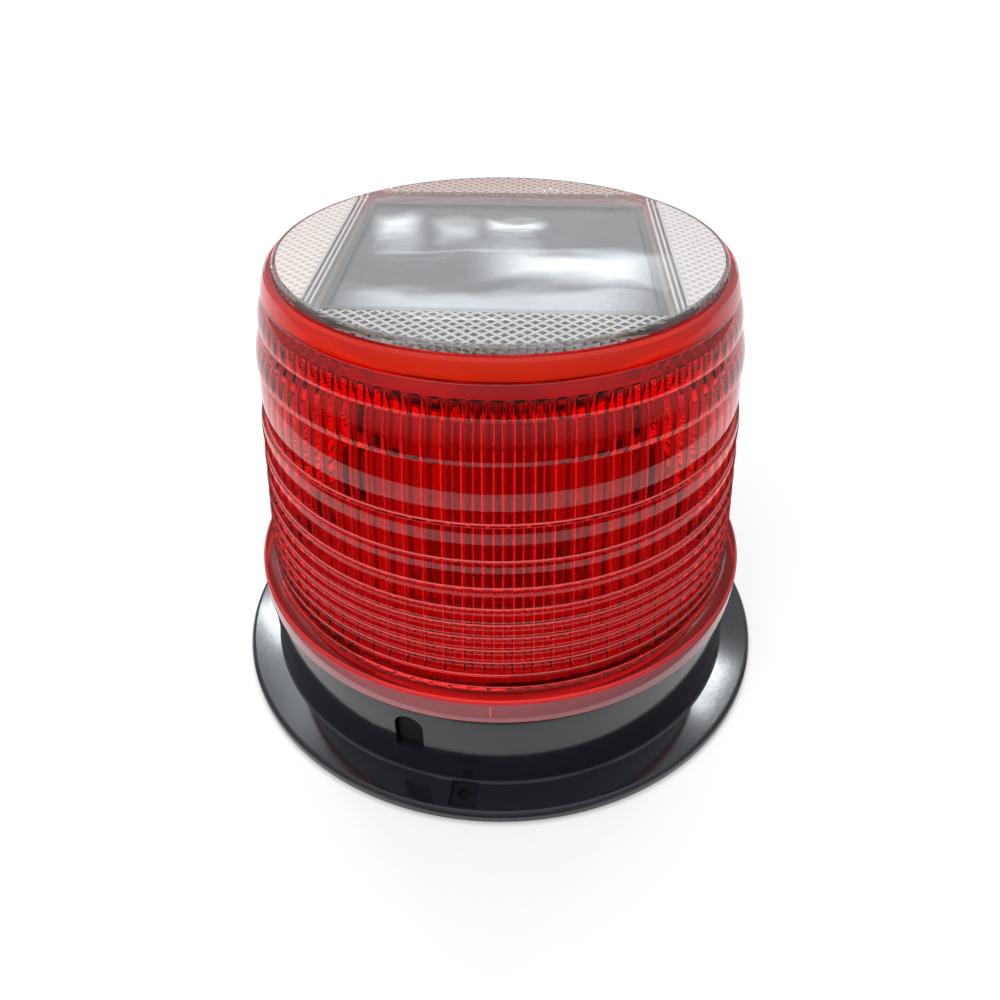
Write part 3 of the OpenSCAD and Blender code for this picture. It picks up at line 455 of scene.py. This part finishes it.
# Closed lens: the outline turned round the axis, the fluted surface inside, and flat rings between them
def makeLens():
    outline, marks, foot = lensOutline()
    rows, lowEnd, highEnd = lensInside(foot)
    cols = lens["outerCols"]
    turn = np.arange(cols) * 2 * math.pi / cols
    outer = turnedPoints(outline[:, :1], turn, outline[:, 1:])
    inner = fluteSurface(rows, lowEnd, highEnd)
    inCols = inner.shape[1]
    start = outer.shape[0] * cols
    points = np.concatenate([outer.reshape(-1, 3), inner.reshape(-1, 3)]) * mm
    faces = ringFaces(len(outline), cols, 0).tolist() + ringFaces(len(rows), inCols, start).tolist()
    # A few inner columns, from the middle of a flute, meet each outer column
    ratio, middle = inCols // cols, lens["fluteCols"] // 2
    k = np.arange(cols)[:, None]
    more = (k * ratio + middle + np.arange(ratio + 1)) % inCols
    after = (k + 1) % cols
    lastOuter, lastInner = start - cols, len(points) - inCols
    faces += np.concatenate([lastOuter + after, lastOuter + k, start + more], 1).tolist()
    faces += np.concatenate([k, after, lastInner + more[:, ::-1]], 1).tolist()
    made = makePiece("redLens", points, faces, lensFinishes[0], "lens", lens["sharp"], ["red_lens"])
    mesh = made.data
    for name in lensFinishes[1:]:
        mesh.materials.append(materials[name])
    outside, inside = lensFinish(outline, marks, rows[:, 1])
    finish = np.concatenate([np.repeat(outside, cols), np.repeat(inside, inCols), np.zeros(2 * cols, int)])
    mesh.polygons.foreach_set("material_index", finish)


makeLens()
print("lens made")


# Index tick moulded on the skirt, in millimetres and degrees

tick = {
    "turn": -89.3, "width": 0.7, "low": 25.2, "high": 28.2, "proud": 0.25, "ends": 0.2,
    "sunk": 0.02, "deep": 0.15, "cols": 9,
}


# Low bar on the skirt: a half round section of given width carried up the wall and closed at both ends
def makeTick():
    cols, skirtR = tick["cols"], lens["skirtR"]
    low, high, ends = tick["low"], tick["high"], tick["ends"]
    t = np.linspace(0, math.pi, cols)
    height = np.array([low, low + ends, high - ends, high])[:, None]
    lift = np.array([0, 1, 1, 0])[:, None]
    rows = len(lift)
    turn = math.radians(tick["turn"]) + np.cos(t) * tick["width"] / 2 / skirtR
    front = turnedPoints(skirtR - tick["sunk"] + lift * np.sin(t) * tick["proud"], turn, height)
    back = turnedPoints(skirtR - tick["deep"], turn, height)
    points = np.concatenate([front.reshape(-1, 3), back.reshape(-1, 3)]) * mm
    quads, behind = gridFaces(rows, cols), rows * cols
    across, up = np.arange(cols - 1), cols * np.arange(rows - 1)
    rim = np.concatenate([across, cols - 1 + up, behind - 1 - across, behind - cols - up])
    after = np.roll(rim, -1)
    sides = np.stack([rim, after, after + behind, rim + behind], -1)
    faces = np.concatenate([quads, quads[:, ::-1] + behind, sides]).tolist()
    made = makePiece("skirtTick", points, faces, "red_clear_plastic", "lens")
    # The tick takes the pale pink painted edge highlight
    made.data.materials[0] = materials["redEdgeHighlight"]


makeTick()
print("tick made")


# Prism fields: painted highlights and reflections of the prisms, with painted shade in the front field's
# middles, as thin sheets on the top cover, in millimetres and degrees

fields = {
    "diagonal": 2.4, "height": 97.475, "reach": 42.7, "ends": 0.995, "cols": 49, "rows": 9, "rough": 0.12,
    "tintFrom": 0.5, "tintTo": 0.78, "coverSpan": (0.45, 0.8),
    # Each field's colours are painted light: the dark front middles are painted shade, the pinker back is
    # painted red light from the lens
    "places": [
        {"name": "frontPaintedPrisms", "turn": -90, "inner": 31.3,
         "middle": (0.07, 0.07, 0.07), "edge": (0.86, 0.85, 0.84), "cover": (0.45, 0.6)},
        {"name": "leftPaintedPrisms", "turn": 180, "inner": 33.0,
         "middle": (0.84, 0.74, 0.67), "edge": (0.94, 0.87, 0.81), "cover": (0.75, 0.95)},
        {"name": "rightPaintedPrisms", "turn": 0, "inner": 33.0,
         "middle": (0.82, 0.76, 0.73), "edge": (0.92, 0.87, 0.85), "cover": (0.7, 0.92)},
        {"name": "backPaintedPrisms", "turn": 90, "inner": 31.6,
         "middle": (0.66, 0.46, 0.42), "edge": (0.8, 0.64, 0.6), "cover": (0.5, 0.8)},
    ],
}


# Lattice group: 1 on the diamonds' lines and 0 in their middles, from x plus and less y over the diagonal
def makeLatticeGroup():
    tree = bpy.data.node_groups.new("diamondLattice", "ShaderNodeTree")
    tree.interface.new_socket("Diagonal", in_out="INPUT", socket_type="NodeSocketFloat")
    tree.interface.new_socket("Line", in_out="OUTPUT", socket_type="NodeSocketFloat")
    diagonal = addNode(tree, "NodeGroupInput").outputs["Diagonal"]
    axes = addAxes(tree)
    folds = []
    for way in ("ADD", "SUBTRACT"):
        share = addMath(tree, "DIVIDE", addMath(tree, way, axes["X"], axes["Y"]), diagonal)
        folds.append(addMath(tree, "PINGPONG", share, 0.5))
    line = addMath(tree, "MULTIPLY_ADD", addMath(tree, "MINIMUM", *folds), -2, 1)
    feed(tree, addNode(tree, "NodeGroupOutput"), line)
    return tree


latticeGroup = makeLatticeGroup()


# Field finish: painted prism light; colour and cover go from the middle's to the edge's by the lattice
def makeFieldMaterial(place):
    look = makeMaterial(place["name"], {"rough": fields["rough"]})
    tree = look.node_tree
    lattice = addNode(tree, "ShaderNodeGroup", node_tree=latticeGroup)
    lattice.inputs["Diagonal"].default_value = fields["diagonal"] * mm
    line, middle, edge = lattice.outputs["Line"], place["middle"], place["edge"]
    stops = [(0, middle), (fields["tintFrom"], middle), (fields["tintTo"], edge), (1, edge)]
    cover = addRange(tree, line, fields["coverSpan"], place["cover"])
    tree.links.new(addRamp(tree, line, stops), tree.nodes["grain"].inputs["Color"])
    tree.links.new(cover, tree.nodes["Principled BSDF"].inputs["Alpha"])
    return look


# Sheet between a straight inner edge and the round outer edge
def makeField(place):
    inner, reach = place["inner"], fields["reach"]
    half = math.sqrt(reach ** 2 - inner ** 2) * fields["ends"]
    along = np.linspace(-half, half, fields["cols"])
    share = np.linspace(0, 1, fields["rows"])[:, None]
    out = inner + share * (np.sqrt(reach ** 2 - along ** 2) - inner)
    turn = math.radians(place["turn"])
    x = out * math.cos(turn) - along * math.sin(turn)
    y = out * math.sin(turn) + along * math.cos(turn)
    points = np.stack([x, y, np.full_like(x, fields["height"])], -1).reshape(-1, 3) * mm
    faces = gridFaces(fields["rows"], fields["cols"]).tolist()
    made = makePiece(place["name"], points, faces, "clear_plastic", "lens")
    made.data.materials[0] = makeFieldMaterial(place)


rails = {
    "name": "railHighlights", "across": (30.75, 31.75, 32.75), "width": 0.4,
    "color": (0.9, 0.87, 0.85), "rough": 0.12, "cover": 0.75,
}


# Painted highlights of the guide rails: narrow pale strips at both sides of the window, ending at the round
# edge
def makeRails():
    across = np.array(rails["across"])
    across = np.concatenate([-across, across])[:, None]
    half = rails["width"] / 2
    length = np.sqrt(fields["reach"] ** 2 - (np.abs(across) + half) ** 2)
    x = across + half * np.array([-1, 1, 1, -1])
    y = length * np.array([-1, -1, 1, 1])
    points = np.stack([x, y, np.full_like(x, fields["height"])], -1).reshape(-1, 3) * mm
    faces = np.arange(len(points)).reshape(-1, 4).tolist()
    made = makePiece(rails["name"], points, faces, "clear_plastic", "lens")
    look = makeMaterial(rails["name"], {"color": rails["color"], "rough": rails["rough"]})
    look.node_tree.nodes["Principled BSDF"].inputs["Alpha"].default_value = rails["cover"]
    made.data.materials[0] = look


for place in fields["places"]:
    makeField(place)
makeRails()
print("prism fields made")


# Stage, light and camera, in metres and degrees

# Mesh that belongs to the stage, not to the object
def makeStagePiece(name, points, faces, paint):
    mesh = bpy.data.meshes.new(name)
    mesh.from_pydata(points, [], faces)
    mesh.materials.append(paint)
    made = bpy.data.objects.new(name, mesh)
    bpy.context.scene.collection.objects.link(made)
    return made


floor = {
    "half": 12.0, "drop": 0.0002, "color": (0.5, 0.5, 0.505), "rough": 0.3, "ior": 1.5, "glow": 0.52,
    "under": (0.0625, 0.066), "paintedShadowColor": (0.01, 0.01, 0.01),
}


# Flat floor: half of its white is lit, to keep the shadow, and half is its own, but for under the foot, where
# colour and glow go dark as a painted shadow
def makeFloor():
    # Painted shadow: under the foot the floor's colour goes dark and its own white goes out
    fade = {"by": "radius", "span": floor["under"], "stops": [(0, floor["paintedShadowColor"]), (1, floor["color"])]}
    paint = makeMaterial("floorPaint", {
        "rough": floor["rough"], "roughVary": 0, "vary": 0, "ior": floor["ior"], "fade": fade,
    })
    tree = paint.node_tree
    ray = addNode(tree, "ShaderNodeLightPath").outputs
    seen = addMath(tree, "MAXIMUM", ray["Is Camera Ray"], ray["Is Glossy Ray"])
    seen = addMath(tree, "MAXIMUM", seen, ray["Is Transmission Ray"])
    glow = addRange(tree, addRadius(tree), floor["under"], (0, floor["glow"]))
    own = addNode(tree, "ShaderNodeEmission")
    tree.links.new(addMath(tree, "MULTIPLY", seen, glow), own.inputs["Strength"])
    both = addNode(tree, "ShaderNodeAddShader")
    feed(tree, both, tree.nodes["Principled BSDF"].outputs[0], own.outputs[0])
    tree.links.new(both.outputs[0], tree.nodes["Material Output"].inputs["Surface"])
    half, low = floor["half"], -floor["drop"]
    corners = [(-half, -half, low), (half, -half, low), (half, half, low), (-half, half, low)]
    makeStagePiece("floor", corners, [(0, 1, 2, 3)], paint)


cardLook = {"color": (0.02, 0.02, 0.02), "rough": 0.9, "ior": 1.1}
cardHeight = 0.0004
cardCols = 97
cards = [
    {"name": "nearCard", "from": 0.075, "to": 0.145, "reach": 180},
    {"name": "farCard", "from": 0.222, "to": 12.0, "reach": 130, "fade": (70, 130)},
]


# Dark paint for painted shade in reflections of the floor, clear from below, that clears over the fade's
# angles away from the front
def makeCardPaint(card):
    paint = makeMaterial(card["name"] + "Black", cardLook)
    tree = paint.node_tree
    hide = addNode(tree, "ShaderNodeNewGeometry").outputs["Backfacing"]
    if "fade" in card:
        axes = addAxes(tree)
        front = addMath(tree, "MULTIPLY", axes["Y"], -1)
        angle = addMath(tree, "ARCTAN2", addMath(tree, "ABSOLUTE", axes["X"]), front)
        away = addRange(tree, angle, np.radians(card["fade"]), kind="SMOOTHSTEP")
        hide = addMath(tree, "MAXIMUM", away, hide)
    clear = addNode(tree, "ShaderNodeBsdfTransparent")
    either = addNode(tree, "ShaderNodeMixShader")
    feed(tree, either, hide, tree.nodes["Principled BSDF"].outputs[0], clear.outputs[0])
    tree.links.new(either.outputs[0], tree.nodes["Material Output"].inputs["Surface"])
    return paint


# Ring or part of a ring on the floor between two radii, seen only in reflections, where it paints shade on
# the reflected floor
def makeCard(card):
    turn = np.radians(np.linspace(-card["reach"], card["reach"], cardCols) - 90)
    radius = np.array([card["from"], card["to"]])[:, None]
    points = turnedPoints(radius, turn, cardHeight).reshape(-1, 3).tolist()
    made = makeStagePiece(card["name"], points, gridFaces(2, cardCols).tolist(), makeCardPaint(card))
    made.visible_camera = made.visible_diffuse = made.visible_transmission = made.visible_shadow = False


room = {
    "lean": (0, 0.35, 0.9), "span": (-0.3, 0.9), "tint": (0.98, 0.99, 1.02), "seen": (1.0, 1.0, 1.0),
    "steps": [(0, 0.06), (0.25, 0.3), (0.5, 0.5), (0.78, 0.6), (1, 1.0)],
}


# Room: its light grows upward and to the back, by the direction along the lean; seen directly it is white
def makeWorld():
    world = bpy.data.worlds.new("studio")
    bpy.context.scene.world = world
    world.use_nodes = True
    tree = world.node_tree
    along = addNode(tree, "ShaderNodeVectorMath", operation="DOT_PRODUCT")
    feed(tree, along, addNode(tree, "ShaderNodeTexCoord").outputs["Generated"], room["lean"])
    share = addRange(tree, along.outputs["Value"], room["span"])
    steps = [(at, [level * t for t in room["tint"]]) for at, level in room["steps"]]
    seen = addNode(tree, "ShaderNodeLightPath").outputs["Is Camera Ray"]
    either = addNode(tree, "ShaderNodeMixRGB")
    feed(tree, either, seen, addRamp(tree, share, steps), (*room["seen"], 1))
    tree.links.new(either.outputs["Color"], tree.nodes["Background"].inputs["Color"])


sun = {"name": "softSun", "turn": -35, "rise": 42, "spread": 60, "strength": 1.6}


# Soft sun from a turn and a rise, left out of reflections
def makeSun():
    lamp = bpy.data.lights.new(sun["name"], "SUN")
    lamp.angle = math.radians(sun["spread"])
    lamp.energy = sun["strength"]
    made = bpy.data.objects.new(sun["name"], lamp)
    bpy.context.scene.collection.objects.link(made)
    made.rotation_euler = (math.radians(90 - sun["rise"]), 0, math.radians(sun["turn"]))
    made.visible_glossy = False


boxPlan = {"tint": (0.9, 0.96, 1.0), "aim": (0, 0, 0.07), "back": 1.2}
# Each lamp's place is across and up, in the plane at the back
boxes = [
    {"name": "windowLeft", "place": (-0.222, 0.506), "size": (0.1, 0.042), "bright": 2.2, "soft": 0.9},
    {"name": "windowMiddle", "place": (-0.127, 0.509), "size": (0.095, 0.034), "bright": 1.1, "soft": 0.8},
    {"name": "windowRight", "place": (-0.03, 0.498), "size": (0.12, 0.018), "bright": 3.0, "soft": 0.8},
    {"name": "thinLine", "place": (-0.07, 0.538), "size": (0.5, 0.006), "bright": 0.7, "soft": 0.6},
    {"name": "cloud", "place": (0.075, 0.565), "size": (0.4, 0.066), "bright": 2.7, "soft": 0.9},
    {"name": "frontBand", "place": (-0.06, 0.632), "size": (0.62, 0.05), "bright": 1.4, "soft": 0.5},
    {"name": "flangeLeft", "place": (-0.745, 1.23), "size": (0.1, 0.22), "bright": 22.0, "soft": 0.4},
    {"name": "flangeLeftWide", "place": (-0.74, 1.42), "size": (0.34, 0.9), "bright": 3.0, "soft": 0.6},
    {"name": "flangeRight", "place": (0.655, 1.47), "size": (0.1, 0.16), "bright": 24.0, "soft": 0.5},
    {"name": "flangeRightLow", "place": (0.67, 1.66), "size": (0.06, 0.12), "bright": 24.0, "soft": 0.5},
    {"name": "flangeRightWide", "place": (0.66, 1.56), "size": (0.18, 0.5), "bright": 3.0, "soft": 0.8},
]


# Strength over a lamp's face: by the larger distance from its middle, falling to nothing over the soft share
def softenLamp(tree, soft):
    middle = addNode(tree, "ShaderNodeVectorMath", operation="SUBTRACT")
    feed(tree, middle, addNode(tree, "ShaderNodeNewGeometry").outputs["Parametric"], (0.5, 0.5, 0))
    split = addNode(tree, "ShaderNodeSeparateXYZ")
    feed(tree, split, middle.outputs["Vector"])
    far = addMath(tree, "MAXIMUM", *(addMath(tree, "ABSOLUTE", split.outputs[axis]) for axis in "XY"))
    level = addRange(tree, far, (0.5, 0.5 - 0.5 * soft), kind="SMOOTHSTEP")
    tree.links.new(level, tree.nodes["Emission"].inputs["Strength"])


# Area lamp of the given radiance, aimed at the lens: power is pi times area times radiance
def makeBox(box):
    lamp = bpy.data.lights.new(box["name"], "AREA")
    lamp.shape = "RECTANGLE"
    lamp.size, lamp.size_y = box["size"]
    lamp.energy = math.pi * lamp.size * lamp.size_y * box["bright"]
    lamp.color = boxPlan["tint"]
    lamp.use_nodes = True
    softenLamp(lamp.node_tree, box["soft"])
    made = bpy.data.objects.new(box["name"], lamp)
    bpy.context.scene.collection.objects.link(made)
    across, up = box["place"]
    made.location = (across, boxPlan["back"], up)
    made.visible_camera = False
    made.rotation_euler = (made.location - Vector(boxPlan["aim"])).to_track_quat("Z", "Y").to_euler()


shot = {
    "place": (0.00724, -0.15939, 0.15470), "pitch": 49.9, "turn": 2.6,
    "sensor": 36, "lens": 29.555, "shift": (-0.0005, 0.0488), "near": 0.01,
}


# Camera at the photo's place, pitch and turn, with a small shift
def makeCamera():
    data = bpy.data.cameras.new("shot")
    data.sensor_width = shot["sensor"]
    data.lens = shot["lens"]
    data.shift_x, data.shift_y = shot["shift"]
    data.clip_start = shot["near"]
    camera = bpy.data.objects.new("shot", data)
    bpy.context.scene.collection.objects.link(camera)
    camera.location = shot["place"]
    camera.rotation_euler = (math.radians(shot["pitch"]), 0, math.radians(shot["turn"]))
    bpy.context.scene.camera = camera


makeFloor()
for card in cards:
    makeCard(card)
makeWorld()
makeSun()
for box in boxes:
    makeBox(box)
makeCamera()
bpy.context.scene.view_settings.view_transform = "Standard"
print("stage set")
